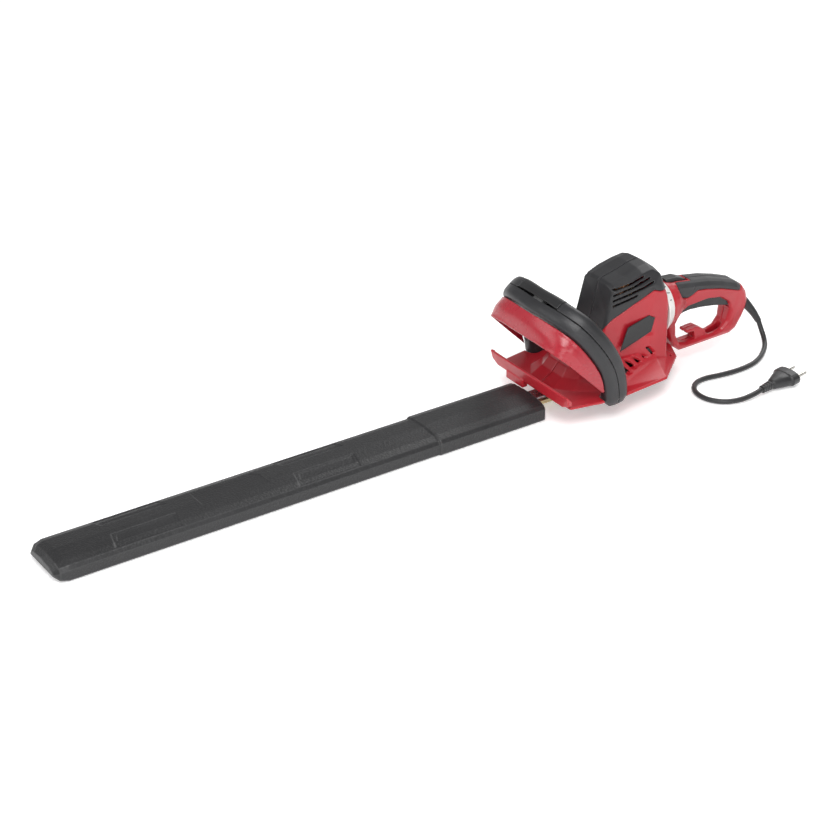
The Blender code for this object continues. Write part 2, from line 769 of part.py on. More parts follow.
def top_bar_box(low, high, across):
    """A box on the top bar, in its own forward and outward directions."""
    centre = Vector(LOOP_PATH[-1])
    lean = math.radians(38)
    forward = Vector((math.cos(lean), 0, -math.sin(lean)))
    outward = Vector((math.sin(lean), 0, math.cos(lean)))
    corners = [(low[0], low[1]), (high[0], low[1]), (high[0], high[1]), (low[0], high[1])]
    return lofted(
        [
            [centre + forward * u + outward * v + Vector((0, y, 0)) for u, v in corners]
            for y in (-across, across)
        ]
    )


def front_handle(black, red, dark):
    place("front_loop_front", loop_half(True), black)
    rear = place("front_loop_rear", loop_half(False), black)
    combine(rear, helper("switch_bar_slot", top_bar_box((-30, -6.6), (3.0, 14.0), 38.4)))
    bar = place("front_switch_bar", loop_half(False), dark)
    combine(bar, helper("switch_bar_space", top_bar_box((-30, -6.2), (-3.0, 14.0), 38.0)), "INTERSECT")
    combine(bar, helper("switch_bar_rib", top_bar_box((-15.4, -3.0), (-7.5, 3.0), 4.0)), "UNION")
    place("front_microswitch", top_bar_box((-5.6, -4.0), (-0.6, 4.0), 9.0), dark)

    frames = loop_frames()[LOOP_STEPS : -LOOP_STEPS]
    edge = smooth_path(mirrored_path(VISOR_EDGE), LOOP_STEPS)
    rings = []
    for (centre, forward, outward), free in zip(frames, edge):
        root = centre + forward * (LOOP_LONG + 0.5) + outward * (LOOP_THICK * 0.5)
        span = free - root
        if span.length < 3.0:
            span = forward * 3.0
        bulge = outward * span.length * 0.10
        inward = -outward * 2.4
        path = [root, root + span * 0.5 + bulge, root + span]
        rings.append(path + [p + inward for p in reversed(path)])
    place("hand_guard", lofted(rings), red)


# ---------------------------------------------------------------- rear handle

HANDLE_OUTLINE = (
    (-62.3, 113), (-66, 117), (-84, 116), (-104, 112.5), (-132, 107.5), (-156, 100.5), (-179, 92),
    (-190, 84), (-196.5, 75), (-201, 62), (-200.5, 50), (-196, 37), (-186.5, 22), (-176, 17),
    (-94, 15.5), (-83, 24), (-74, 40), (-68, 54), (-62.3, 60),
)  # fmt: skip
OPENING = (
    (-88, 73), (-98, 79), (-130, 81), (-152, 77), (-166, 67), (-172, 53), (-169, 38), (-161, 29),
    (-150, 26), (-104, 24.5), (-92, 28), (-84, 42), (-81, 60),
)  # fmt: skip
# Lower edge of the over-moulded grip, from the neck to the rear
GRIP_LINE = (
    (-80, 140), (-78, 113), (-80, 101), (-87, 94.5), (-97, 92.5), (-104, 95), (-111, 99), (-126, 97),
    (-152, 90.5), (-181, 80.5), (-186, 86), (-190, 110),
)  # fmt: skip
# Decorative groove along the grip pad's lower edge
GRIP_GROOVE = ((-100, 95.5), (-106, 107), (-113, 110.5), (-140, 106), (-166, 98), (-176, 89))
# Hook for the extension lead, standing on the lower bar
HOOK_OUTLINE = ((-105, 36.6), (-105, 40.4), (-123, 41.4), (-135, 34), (-140, 24), (-120, 24), (-117, 36.6))
# Half thickness of the handle's lower bar and of its grip, and the heights between which it grows
LOWER_BAR_HALF = 11.5
TAPER_HEIGHTS = (34.0, 78.0)


def handle_share(z):
    """Thickness of the handle at a height, as a share of the grip's."""
    low, high = TAPER_HEIGHTS
    t = min(1.0, max(0.0, (z - low) / (high - low)))
    return (LOWER_BAR_HALF + (HANDLE_HALF - LOWER_BAR_HALF) * t) / HANDLE_HALF


def handle_body(outline, y_steps):
    """The outline as a plate with rounded faces: (y, how far the outline draws in)."""
    rings = []
    for y, draw in y_steps:
        drawn = inset(outline, draw) if draw else outline
        rings.append([(x, y * handle_share(z), z) for x, z in drawn])
    return lofted(rings)


def rear_handle(red, rubber, dark, steel):
    outline = list(HANDLE_OUTLINE)
    layers = (
        (-HANDLE_HALF, 6.0), (-HANDLE_HALF + 3, 2.0), (-9, 0.0), (9, 0.0), (HANDLE_HALF - 3, 2.0),
        (HANDLE_HALF, 6.0),
    )
    hole = helper(
        "hand_opening", handle_body(list(OPENING), ((-30, -8.0), (-12, 0.0), (12, 0.0), (30, -8.0))),
    )
    neck = [
        (17, -92), (24, -82), (29, -74), (31, -66), (31, -62.2), (SPIGOT_R - 0.3, -62.2),
        (SPIGOT_R - 0.3, -42.8),
    ]
    neck_form = helper("neck_form", turned(neck, "x", (0, SWIVEL_Z), 28))
    flange = helper(
        "spigot_flange", turned([(SPIGOT_R + 3, -42.9), (SPIGOT_R + 3, -39.9)], "x", (0, SWIVEL_Z), 28),
    )
    bore = helper("neck_bore", turned([(SPIGOT_R - 4, -80), (SPIGOT_R - 4, -30)], "x", (0, SWIVEL_Z), 28))
    pocket_outline = [
        (-60, 98), (-84, 106), (-104, 108), (-132, 103), (-156, 96), (-180, 86), (-188, 74), (-172, 76),
        (-150, 84), (-120, 87), (-95, 83), (-60, 80),
    ]
    pocket = helper("grip_room", prism(pocket_outline, "y", -10.5, 10.5))
    trigger_way = helper("trigger_way", box((-172.0, -11.0, 57), (-87.6, 11.0, 89)))
    lock_way = helper(
        "lock_way", prism([(-63.5, 140), (-66, 109), (-102, 103), (-106, 140)], "y", -7.3, 7.3),
    )
    relief_way = helper("relief_way", relief_shape(0.5))
    grip_space = helper("grip_space", prism(list(GRIP_LINE), "y", -40, 40))
    red_space = helper("red_space", prism(inset(list(GRIP_LINE), -GAP), "y", -40, 40))
    combine(red_space, helper("lock_frame", box((-104.0, -9.4, 100), (-50, 9.4, 150))))
    combine(grip_space, helper("lock_frame_room", box((-104.3, -9.7, 99.7), (-50, 9.7, 150))))
    hook_slot = helper("hook_slot", box((-166, -4.5, 20), (-142, 4.5, 44)))
    hook = helper("cord_hook", prism(list(HOOK_OUTLINE), "y", -7.5, 7.5))
    for side, name in ((True, "left"), (False, "right")):
        half = side_box(f"handle_half_{name}", side)
        for piece, look in ((f"rear_handle_{name}", red), (f"grip_pad_{name}", rubber)):
            made = place(piece, handle_body(outline, layers), look)
            if look is red:
                combine(made, neck_form, "UNION")
                combine(made, flange, "UNION")
                combine(made, bore)
            combine(made, hole)
            if look is red:
                combine(made, hook, "UNION")
            combine(made, pocket)
            combine(made, trigger_way)
            combine(made, lock_way)
            combine(made, relief_way)
            if look is red:
                combine(made, red_space)
                combine(made, hook_slot)
            else:
                combine(made, grip_space, "INTERSECT")
                for y in (16.2, -16.2):
                    low, high = sorted((y, math.copysign(40.0, y)))
                    groove = helper(
                        f"grip_groove_{name}_{y:.0f}", prism(band(GRIP_GROOVE, 1.3), "y", low, high),
                    )
                    combine(made, groove)
            combine(made, half, "INTERSECT")

    trigger_outline = [
        (-170, 63), (-168, 60.5), (-153, 64.5), (-141, 67), (-122, 70), (-105, 71.3), (-95, 70.3),
        (-89.6, 69),
        (-88.6, 78), (-93, 81), (-110, 84), (-130, 85), (-152, 82), (-164, 80), (-170, 72),
    ]  # fmt: skip
    place("rear_trigger", prism(trigger_outline, "y", -10.6, 10.6), dark, TRIGGER_PIVOT)
    lock_outline = [(-65, 122), (-67, 110.5), (-92, 107), (-98, 114.5), (-84, 120.5)]
    place("swivel_lock", prism(lock_outline, "y", -7.0, 7.0), dark)
    place("rear_microswitch", box((-116, -7, 92), (-100, 7, 102)), dark)
    place("capacitor", turned([(4.5, -148), (4.5, -128)], "x", (0, 93.5), 16), dark)
    place("cord_clamp", box((-182, -8, 78.5), (-174, 8, 82)), steel)
    place("strain_relief", relief_shape(0.0), dark)


def relief_shape(grow):
    """The tapered sleeve that the cord leaves through, from the handle's rear face to its tip."""
    path = smooth_path([Vector(p) for p in RELIEF_PATH], 2)
    radii = (4.6, 6.0, 6.3, 6.3, 5.9, 5.4, 4.9, 4.5, 4.2)
    rings = []
    for i, (centre, radius) in enumerate(zip(path, radii)):
        along = (path[min(i + 1, len(path) - 1)] - path[max(i - 1, 0)]).normalized()
        if i == len(path) - 1:
            along = Vector(TIP_DIRECTION).normalized()
        side = along.cross(Vector((0, 1, 0))).normalized()
        other = along.cross(side)
        rings.append([centre + side * u + other * v for u, v in circle(radius + grow, 14)])
    return lofted(rings)


# ---------------------------------------------------------------- swivel ring


def swivel_ring(white):
    profile = [
        (SPIGOT_R + GAP, RING_REAR_X),
        (RING_REAR_R, RING_REAR_X),
        (RING_FRONT_R, RING_FRONT_X),
        (SPIGOT_R + GAP, RING_FRONT_X),
    ]
    place("swivel_ring", turned_ring(profile, "x", (0, SWIVEL_Z), 32), white)


# ---------------------------------------------------------------- cord

# The cord's centre line on the surface that the machine lies on, from the relief's tip to the plug
CORD_ROUTE = (
    (-214.5, 21.15, 28.7),
    (-215.3, 23.4, 23.6),
    (-215.3, 26.9, 18.4),
    (-214.0, 32.4, 13.0),
    (-210.4, 39.6, 8.0),
    (-203.2, 47.5, 5.2),
    (-191.5, 56.6, 4.0),
    (-178.5, 64.4, 3.6),
    (-164.0, 70.0, 3.5),
    (-146.0, 72.7, 3.5),
    (-127.0, 72.6, 3.5),
    (-107.8, 70.3, 3.5),
    (-89.4, 67.0, 3.5),
    (-73.3, 68.6, 3.5),
    (-61.5, 76.3, 3.5),
    (-54.3, 88.3, 3.5),
    (-53.0, 102.9, 3.5),
    (-58.1, 116.4, 3.5),
    (-70.1, 127.9, 3.5),
    (-88.2, 134.0, 4.0),
    (-107.2, 135.0, 5.6),
    (-121.0, 133.4, 7.1),
)
PLUG_START = (-121.35, 133.3, 7.15)
PLUG_DIRECTION = (-0.99, -0.12, 0.05)


def cord_piece(rubber):
    route = smooth_path([Vector(p) for p in CORD_ROUTE], 4)
    curve = bpy.data.curves.new("cord", "CURVE")
    curve.dimensions = "3D"
    curve.bevel_depth = CORD_R * MM
    curve.bevel_resolution = 2
    curve.use_fill_caps = True
    curve.materials.append(rubber)
    spline = curve.splines.new("POLY")
    spline.points.add(len(route) - 1)
    for point, place_at in zip(spline.points, route):
        point.co = (*(place_at * MM), 1.0)
    bpy.context.scene.collection.objects.link(bpy.data.objects.new("cord", curve))


def plug_place(along, across, up):
    """A point of the plug from distances along it, across it and up."""
    axis = Vector(PLUG_DIRECTION).normalized()
    side = Vector((0, 0, 1)).cross(axis).normalized()
    return Vector(PLUG_START) + axis * along + side * across + axis.cross(side) * up


def plug_pieces(dark, steel):
    """Two-pin plug: a ribbed neck, a flat fan-shaped body and a thick rim at the pins."""
    sections = []
    for k in range(4):
        rib = 4.8 + 0.25 * k
        for step, draw in ((0, 0), (2.4, 0), (2.9, 1.0), (3.8, 1.0)):
            sections.append((4.2 * k + step, rib - draw, rib - draw))
    sections += [
        (17.0, 5.6, 5.6), (19.0, 7.0, 6.5), (30.0, 11.5, 8.0), (40.0, 15.5, 8.4),
        (41.5, 17.75, 9.0), (52.0, 17.75, 9.0), (53.0, 17.0, 8.2),
    ]  # fmt: skip
    rings = []
    for along, wide, high in sections:
        rings.append([plug_place(along, u, v) for u, v in loop_section(wide, high, 0, 342, 19, 0.8)])
    place("plug_body", lofted(rings), dark)
    for name, across in (("left", 9.5), ("right", -9.5)):
        rings = []
        for along, radius in ((53.3, 2.4), (70.5, 2.4), (72.3, 1.4)):
            rings.append([plug_place(along, across + u, v) for u, v in circle(radius, 12)])
        place(f"plug_pin_{name}", lofted(rings), steel)


# ---------------------------------------------------------------- the whole


def main():
    clear_scene()
    red = principled("red plastic", RED, 0.42)
    black = principled("black plastic", BLACK, 0.5)
    dark = principled("dark plastic", (0.02, 0.02, 0.022), 0.45)
    rubber = principled("black rubber", (0.03, 0.03, 0.03), 0.7)
    steel = principled("steel", STEEL, 0.35, 1.0)
    blade_metal = principled("zinc plated blade steel", (0.72, 0.58, 0.30), 0.35, 1.0)
    alloy = principled("die-cast alloy", (0.6, 0.6, 0.6), 0.5, 1.0)
    core = principled("laminated core", (0.2, 0.2, 0.2), 0.5, 1.0)
    copper = principled("copper", COPPER, 0.35, 1.0)
    brass = principled("brass", (0.75, 0.58, 0.28), 0.35, 1.0)
    carbon = principled("carbon", (0.02, 0.02, 0.02), 0.8)
    white = principled("white ring", (0.75, 0.76, 0.77), 0.35)

    housing_pieces(red, black, dark)
    front_lip(red)
    bottom_cover(black)
    gear_pieces(steel, alloy, brass)
    blade_pieces(blade_metal, steel)
    blade_guard(black)
    motor_pieces(steel, core, copper, alloy, brass, carbon, black)
    front_handle(black, red, dark)
    rear_handle(red, rubber, dark, steel)
    swivel_ring(white)
    cord_piece(rubber)
    plug_pieces(dark, steel)


main()
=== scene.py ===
"""Looks of the hedge trimmer: materials, rounded shells, lead, small details, stage, lights and camera."""

import json
import math

import bmesh
import bpy
import numpy as np
from mathutils import Matrix, Vector
from mathutils.bvhtree import BVHTree


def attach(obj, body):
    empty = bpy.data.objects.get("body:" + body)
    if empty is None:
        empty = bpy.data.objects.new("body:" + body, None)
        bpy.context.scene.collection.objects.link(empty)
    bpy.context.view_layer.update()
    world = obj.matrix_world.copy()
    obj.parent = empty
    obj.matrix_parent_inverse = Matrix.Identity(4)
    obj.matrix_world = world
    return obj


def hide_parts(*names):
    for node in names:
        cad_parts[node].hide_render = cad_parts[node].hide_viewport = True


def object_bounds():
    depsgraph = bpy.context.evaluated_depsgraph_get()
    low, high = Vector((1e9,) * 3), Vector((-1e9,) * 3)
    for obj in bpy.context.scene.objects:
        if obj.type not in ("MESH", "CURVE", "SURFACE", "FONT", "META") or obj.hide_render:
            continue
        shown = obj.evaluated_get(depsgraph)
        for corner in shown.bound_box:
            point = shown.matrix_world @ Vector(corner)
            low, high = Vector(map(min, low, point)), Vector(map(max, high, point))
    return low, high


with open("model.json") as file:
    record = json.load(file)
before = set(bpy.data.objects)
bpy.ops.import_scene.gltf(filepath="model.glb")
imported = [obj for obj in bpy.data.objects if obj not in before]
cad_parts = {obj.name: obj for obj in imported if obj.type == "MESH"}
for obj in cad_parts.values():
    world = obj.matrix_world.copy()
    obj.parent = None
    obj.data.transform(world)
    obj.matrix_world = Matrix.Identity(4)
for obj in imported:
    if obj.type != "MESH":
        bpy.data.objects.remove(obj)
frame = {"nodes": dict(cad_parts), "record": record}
CAD_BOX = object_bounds()
NODES = frame["nodes"]
BODY_OF = {
    node: body
    for body, members in frame["record"]["behaviour"]["bodies"].items()
    for node in members
}
SLOT_OF = {s["node"]: s["material_slot"] for s in frame["record"]["subparts"]}
MM = 0.001


# ---------------------------------------------------------------- materials


def node_tree(name):
    """A new material with a Principled shader, as (material, nodes, link function, shader)."""
    material = bpy.data.materials.new(name)
    material.use_nodes = True
    nodes = material.node_tree.nodes
    links = material.node_tree.links
    return material, nodes, links.new, nodes["Principled BSDF"]


def noise(nodes, link, scale, detail=3.0, rough=0.5, stretch=(1, 1, 1)):
    """Noise in the object's own coordinates, in metres."""
    coordinates = nodes.new("ShaderNodeTexCoord")
    mapping = nodes.new("ShaderNodeMapping")
    mapping.inputs["Scale"].default_value = stretch
    texture = nodes.new("ShaderNodeTexNoise")
    texture.inputs["Scale"].default_value = scale
    texture.inputs["Detail"].default_value = detail
    texture.inputs["Roughness"].default_value = rough
    link(coordinates.outputs["Object"], mapping.inputs["Vector"])
    link(mapping.outputs["Vector"], texture.inputs["Vector"])
    return texture.outputs["Fac"]


def ramp(nodes, link, value, stops):
    """A colour ramp over a value: stops are (place, colour)."""
    node = nodes.new("ShaderNodeValToRGB")
    elements = node.color_ramp.elements
    while len(elements) < len(stops):
        elements.new(0.5)
    for element, (place, colour) in zip(elements, stops):
        element.position = place
        element.color = (*colour, 1)
    link(value, node.inputs["Fac"])
    return node.outputs["Color"]


def spread(nodes, link, value, low, high):
    """The value's range 0.3 to 0.7 mapped to low..high."""
    node = nodes.new("ShaderNodeMapRange")
    node.inputs["From Min"].default_value = 0.3
    node.inputs["From Max"].default_value = 0.7
    node.inputs["To Min"].default_value = low
    node.inputs["To Max"].default_value = high
    link(value, node.inputs["Value"])
    return node.outputs["Result"]


def mixed(nodes, link, share, first, second):
    """first where share is 0, second where it is 1; either may be a colour or a socket."""
    node = nodes.new("ShaderNodeMix")
    node.data_type = "RGBA"
    link(share, node.inputs["Factor"])
    for socket, value in ((node.inputs["A"], first), (node.inputs["B"], second)):
        if isinstance(value, tuple):
            socket.default_value = (*value, 1)
        else:
            link(value, socket)
    return node.outputs["Result"]


def bumped(nodes, link, shader, layers):
    """Chains bump layers: (height socket, strength, distance in metres)."""
    normal = None
    for height, strength, distance in layers:
        bump = nodes.new("ShaderNodeBump")
        bump.inputs["Strength"].default_value = strength
        bump.inputs["Distance"].default_value = distance
        link(height, bump.inputs["Height"])
        if normal is not None:
            link(normal, bump.inputs["Normal"])
        normal = bump.outputs["Normal"]
    link(normal, shader.inputs["Normal"])


# Pointiness is 0.5 on a flat surface, more on a convex edge and less in an inside corner
WORN_FROM, WORN_TO = 0.53, 0.62
# Painted shade in the inside corners: none above the first pointiness, full below the second
CORNER_SHADE_FROM, CORNER_SHADE_TO = 0.488, 0.42


def edge_wear(nodes, link, low=WORN_FROM, high=WORN_TO):
    """1 along convex edges, from the surface's pointiness."""
    geometry = nodes.new("ShaderNodeNewGeometry")
    wear = nodes.new("ShaderNodeMapRange")
    wear.inputs["From Min"].default_value = low
    wear.inputs["From Max"].default_value = high
    link(geometry.outputs["Pointiness"], wear.inputs["Value"])
    return wear.outputs["Result"]


def painted_corner_shade(nodes, link, base, darkest):
    """Darkens the colour in the inside corners, where the surface folds inwards: painted shade in creases and
    recesses.
    """
    geometry = nodes.new("ShaderNodeNewGeometry")
    fold = nodes.new("ShaderNodeMapRange")
    fold.inputs["From Min"].default_value = CORNER_SHADE_FROM
    fold.inputs["From Max"].default_value = CORNER_SHADE_TO
    link(geometry.outputs["Pointiness"], fold.inputs["Value"])
    return mixed(nodes, link, fold.outputs["Result"], base, darkest)


def moulded(name, colour, rubbed, roughness, grain, grain_height, vary=0.12, coat=0.0):
    """Moulded plastic: mottled colour, paler rubbed edges, painted shade in the inside corners, a
    spark-eroded grain and faint flow marks.
    """
    material, nodes, link, shader = node_tree(name)
    darker = tuple(c * (1 - vary) for c in colour)
    lighter = tuple(min(1, c * (1 + vary)) for c in colour)
    cloud = noise(nodes, link, 14.0, 4.0)
    base = ramp(nodes, link, cloud, ((0.3, darker), (0.7, lighter)))
    base = mixed(nodes, link, edge_wear(nodes, link), base, rubbed)
    # Painted shade: the inside corners darken to 0.3 of the colour
    base = painted_corner_shade(nodes, link, base, tuple(c * 0.3 for c in colour))
    link(base, shader.inputs["Base Color"])
    fine = noise(nodes, link, grain, 2.0, 0.6)
    flow = noise(nodes, link, 55.0, 3.0, 0.5, (0.4, 1, 1))
    link(spread(nodes, link, flow, roughness - 0.05, roughness + 0.07), shader.inputs["Roughness"])
    bumped(nodes, link, shader, ((fine, 0.5, grain_height), (flow, 0.12, 0.0006)))
    shader.inputs["Coat Weight"].default_value = coat
    shader.inputs["Coat Roughness"].default_value = 0.25
    shader.inputs["Specular IOR Level"].default_value = 0.5
    return material


def rubbery(name, colour, roughness, grain):
    """Soft over-moulding or flex: dull, dusty and finely stippled."""
    material, nodes, link, shader = node_tree(name)
    dust = noise(nodes, link, 40.0, 5.0, 0.65)
    dusty = tuple(c * 1.7 + 0.004 for c in colour)
    link(ramp(nodes, link, dust, ((0.4, colour), (0.75, dusty))), shader.inputs["Base Color"])
    link(spread(nodes, link, dust, roughness - 0.06, roughness + 0.08), shader.inputs["Roughness"])
    stipple = noise(nodes, link, grain, 1.0, 0.5)
    bumped(nodes, link, shader, ((stipple, 0.4, 0.0003),))
    shader.inputs["Sheen Weight"].default_value = 0.15
    shader.inputs["Sheen Roughness"].default_value = 0.5
    return material


def leathery(name, colour, rubbed):
    """The sheath's plastic: a coarse pebbled grain, blunter and shinier on the high spots."""
    material, nodes, link, shader = node_tree(name)
    coordinates = nodes.new("ShaderNodeTexCoord")
    cells = nodes.new("ShaderNodeTexVoronoi")
    cells.feature = "SMOOTH_F1"
    cells.inputs["Scale"].default_value = 480.0
    cells.inputs["Smoothness"].default_value = 0.7
    link(coordinates.outputs["Object"], cells.inputs["Vector"])
    cloud = noise(nodes, link, 9.0, 5.0, 0.6)
    darker = tuple(c * 0.8 for c in colour)
    lighter = tuple(c * 1.25 for c in colour)
    base = ramp(nodes, link, cloud, ((0.3, darker), (0.7, lighter)))
    specks = ramp(nodes, link, cells.outputs["Distance"], ((0.05, (1, 1, 1)), (0.45, (0, 0, 0))))
    base = mixed(nodes, link, specks, base, tuple(c * 1.8 for c in colour))
    base = mixed(nodes, link, edge_wear(nodes, link, 0.505, 0.56), base, rubbed)
    # Painted shade: the inside corners and recess lines darken to 0.15 of the colour
    base = painted_corner_shade(nodes, link, base, tuple(c * 0.15 for c in colour))
    link(base, shader.inputs["Base Color"])
    link(spread(nodes, link, cloud, 0.38, 0.52), shader.inputs["Roughness"])
    fine = noise(nodes, link, 1500.0, 2.0)
    bumped(nodes, link, shader, ((cells.outputs["Distance"], 0.6, 0.0006), (fine, 0.25, 0.0002)))
    return material


def metal(name, colour, roughness, brushed=(1, 1, 1), tint=None, metallic=1.0, scale=300.0):
    """Metal with fine machining lines along one axis and slightly stained patches."""
    material, nodes, link, shader = node_tree(name)
    stain = noise(nodes, link, 30.0, 4.0)
    other = tint or tuple(c * 0.82 for c in colour)
    link(ramp(nodes, link, stain, ((0.35, colour), (0.72, other))), shader.inputs["Base Color"])
    lines = noise(nodes, link, scale, 3.0, 0.6, brushed)
    link(spread(nodes, link, lines, roughness - 0.08, roughness + 0.12), shader.inputs["Roughness"])
    bumped(nodes, link, shader, ((lines, 0.25, 0.0001),))
    shader.inputs["Metallic"].default_value = metallic
    return material


def wound(name, copper, wires_scale):
    """Enamelled copper wire laid side by side, with painted shade in the grooves between the wires."""
    material, nodes, link, shader = node_tree(name)
    coordinates = nodes.new("ShaderNodeTexCoord")
    wires = nodes.new("ShaderNodeTexWave")
    wires.bands_direction = "Z"
    wires.inputs["Scale"].default_value = wires_scale
    wires.inputs["Distortion"].default_value = 0.6
    link(coordinates.outputs["Object"], wires.inputs["Vector"])
    # Painted shade: the colour darkens in the grooves between the wires
    dark = tuple(c * 0.45 for c in copper)
    shaded_strands = ramp(nodes, link, wires.outputs["Fac"], ((0.1, dark), (0.7, copper)))
    link(shaded_strands, shader.inputs["Base Color"])
    bumped(nodes, link, shader, ((wires.outputs["Fac"], 0.8, 0.0004),))
    shader.inputs["Metallic"].default_value = 0.6
    shader.inputs["Roughness"].default_value = 0.35
    return material


RED = (0.40, 0.010, 0.020)
GUARD_RED = (0.34, 0.008, 0.020)
BLACK = (0.015, 0.015, 0.017)
# moulded: name, colour, rubbed colour, roughness, grain, grain height, variation, coat
# rubbery: name, colour, roughness, grain
# metal: name, colour, roughness, stretch of its lines, stain, metallic, scale
LOOKS = {
    "red_shell": moulded("red_moulding", RED, (0.50, 0.035, 0.045), 0.36, 900.0, 0.00010, 0.06, 0.15),
    "red_guard": moulded(
        "red_guard_moulding", GUARD_RED, (0.46, 0.03, 0.04), 0.27, 900.0, 0.00008, 0.05, 0.3
    ),
    "black_shell": moulded("black_moulding", BLACK, (0.045, 0.045, 0.048), 0.40, 1100.0, 0.00018, 0.2),
    "black_switch": moulded(
        "button_moulding", (0.012, 0.012, 0.013), (0.04, 0.04, 0.043), 0.36, 1300.0, 0.00008, 0.2
    ),
    "grip_rubber": rubbery("grip_overmould", BLACK, 0.62, 1000.0),
    "sheath": leathery("sheath_moulding", (0.013, 0.013, 0.014), (0.07, 0.07, 0.072)),
    "swivel_white": moulded(
        "index_ring_moulding", (0.72, 0.71, 0.69), (0.80, 0.80, 0.78), 0.33, 900.0, 0.00006, 0.05, 0.2
    ),
    "blade_steel": metal("ground_blade", (0.74, 0.62, 0.34), 0.28, (30, 1, 1), (0.62, 0.52, 0.30)),
    "steel": metal("turned_steel", (0.62, 0.62, 0.63), 0.30, (1, 1, 25)),
    "fastener": metal("zinc_fastener", (0.60, 0.59, 0.55), 0.34, (1, 1, 12), (0.66, 0.60, 0.42)),
    "gear_steel": metal("hobbed_gear", (0.36, 0.36, 0.38), 0.36, (1, 1, 20)),
    "die_cast": metal("die_casting", (0.52, 0.53, 0.54), 0.50, (1, 1, 1), (0.42, 0.43, 0.45), 0.9, 500.0),
    "copper": wound("copper_winding", (0.70, 0.33, 0.15), 180.0),
    "laminations": metal("lamination_stack", (0.22, 0.22, 0.23), 0.48, (1, 1, 60), (0.14, 0.12, 0.11), 0.8),
    "brass": metal("pressed_brass", (0.78, 0.58, 0.24), 0.30, (1, 12, 1)),
    "inner_plastic": moulded(
        "inner_moulding", (0.10, 0.10, 0.105), (0.2, 0.2, 0.2), 0.5, 700.0, 0.0002, 0.2
    ),
    "carbon": rubbery("carbon_block", (0.02, 0.02, 0.02), 0.7, 1600.0),
    "flex": rubbery("lead_rubber", (0.010, 0.010, 0.011), 0.42, 1300.0),
    "plug_pins": metal("nickel_plating", (0.50, 0.49, 0.46), 0.22, (1, 1, 8), (0.40, 0.39, 0.36)),
}


def dress_nodes():
    """Every CAD node takes its slot's look."""
    for name, node in NODES.items():
        node.data.materials.clear()
        node.data.materials.append(LOOKS[SLOT_OF[name]])


# ---------------------------------------------------------------- pieces


def new_piece(name, mesh, body, slot_name, replaced=()):
    """An object in the scene that rides a body and takes its slot's look."""
    piece = bpy.data.objects.new(name, mesh)
    bpy.context.scene.collection.objects.link(piece)
    piece.data.materials.clear()
    piece.data.materials.append(LOOKS[slot_name])
    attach(piece, body)
    if replaced:
        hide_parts(*replaced)
    return piece


def evaluated_copy(piece):
    """The piece's mesh with its modifiers applied."""
    graph = bpy.context.evaluated_depsgraph_get()
    return bpy.data.meshes.new_from_object(piece.evaluated_get(graph))


FAIRING_STEP = 0.6
# A vertex moves in full up to 0.6 of this reach, and one that would move past 1.6 of it stays
FAIRING_REACH = 0.8 * MM
SHARE_PASSES = 6


def faired(mesh, passes):
    """Evens out shallow creases: vertices move towards a heavily smoothed copy, but ones at a rim stay."""
    count = len(mesh.vertices)
    edges = np.empty(len(mesh.edges) * 2, np.int32)
    mesh.edges.foreach_get("vertices", edges)
    first, second = edges[::2], edges[1::2]
    around = np.bincount(edges, minlength=count)[:, None]

    def sum_of_neighbours(values):
        return np.bincount(first, values[second], count) + np.bincount(second, values[first], count)

    points = np.empty(count * 3, np.float32)
    mesh.vertices.foreach_get("co", points)
    points = points.reshape(-1, 3).astype(np.float64)
    smooth = points.copy()
    for _ in range(passes):
        total = np.stack([sum_of_neighbours(column) for column in smooth.T], axis=1)
        smooth += (total / around - smooth) * FAIRING_STEP
    move = smooth - points
    share = np.clip(1.6 - np.linalg.norm(move, axis=1) / FAIRING_REACH, 0, 1)
    # The share itself is evened out, so that moved and unmoved parts meet smoothly
    for _ in range(SHARE_PASSES):
        share = sum_of_neighbours(share) / around[:, 0]
    points += move * share[:, None]
    mesh.vertices.foreach_set("co", points.astype(np.float32).ravel())
    mesh.update()


def softened(node, voxel, passes, fairing=0):
    """A moulded copy of a CAD node: fine even mesh, rounded edges, smooth shading."""
    source = NODES[node]
    draft = bpy.data.objects.new(f"{node}_draft", source.data.copy())
    bpy.context.scene.collection.objects.link(draft)
    remesh = draft.modifiers.new("even", "REMESH")
    remesh.mode = "VOXEL"
    remesh.voxel_size = voxel * MM
    remesh.adaptivity = 0.0
    smooth = draft.modifiers.new("round", "SMOOTH")
    smooth.factor = 0.5
    smooth.iterations = passes
    mesh = evaluated_copy(draft)
    bpy.data.objects.remove(draft)
    if fairing:
        faired(mesh, fairing)
    mesh.shade_smooth()
    new_piece(f"{node}_moulded", mesh, BODY_OF[node], SLOT_OF[node], [node])


SHELLS = {
    # node: (voxel in mm, smoothing passes, fairing passes if any)
    "housing_left": (0.9, 5),
    "housing_right": (0.9, 5),
    "motor_cover_left": (0.8, 6),
    "motor_cover_right": (0.8, 6),
    "front_loop_front": (0.9, 6, 50),
    "front_loop_rear": (0.9, 6, 50),
    "hand_guard": (0.9, 4, 90),
    "front_lip": (0.8, 3),
    "rear_handle_left": (0.8, 5),
    "rear_handle_right": (0.8, 5),
    "grip_pad_left": (0.7, 5),
    "grip_pad_right": (0.7, 5),
    "rear_trigger": (0.6, 5),
    "swivel_lock": (0.6, 4),
    "front_switch_bar": (0.6, 4),
    "badge_panel_left": (0.5, 3),
    "badge_panel_right": (0.5, 3),
    "strain_relief": (0.5, 3),
    "plug_body": (0.6, 4),
    "bottom_cover": (1.0, 3),
    "blade_guard": (0.7, 3),
    "swivel_ring": (0.7, 2),
}


# ---------------------------------------------------------------- small details

SCREW_RADIUS = 3.1
SCREW_SIDES = 48
SCREW_LOBES = 6
SOCKET_RADIUS = 2.0
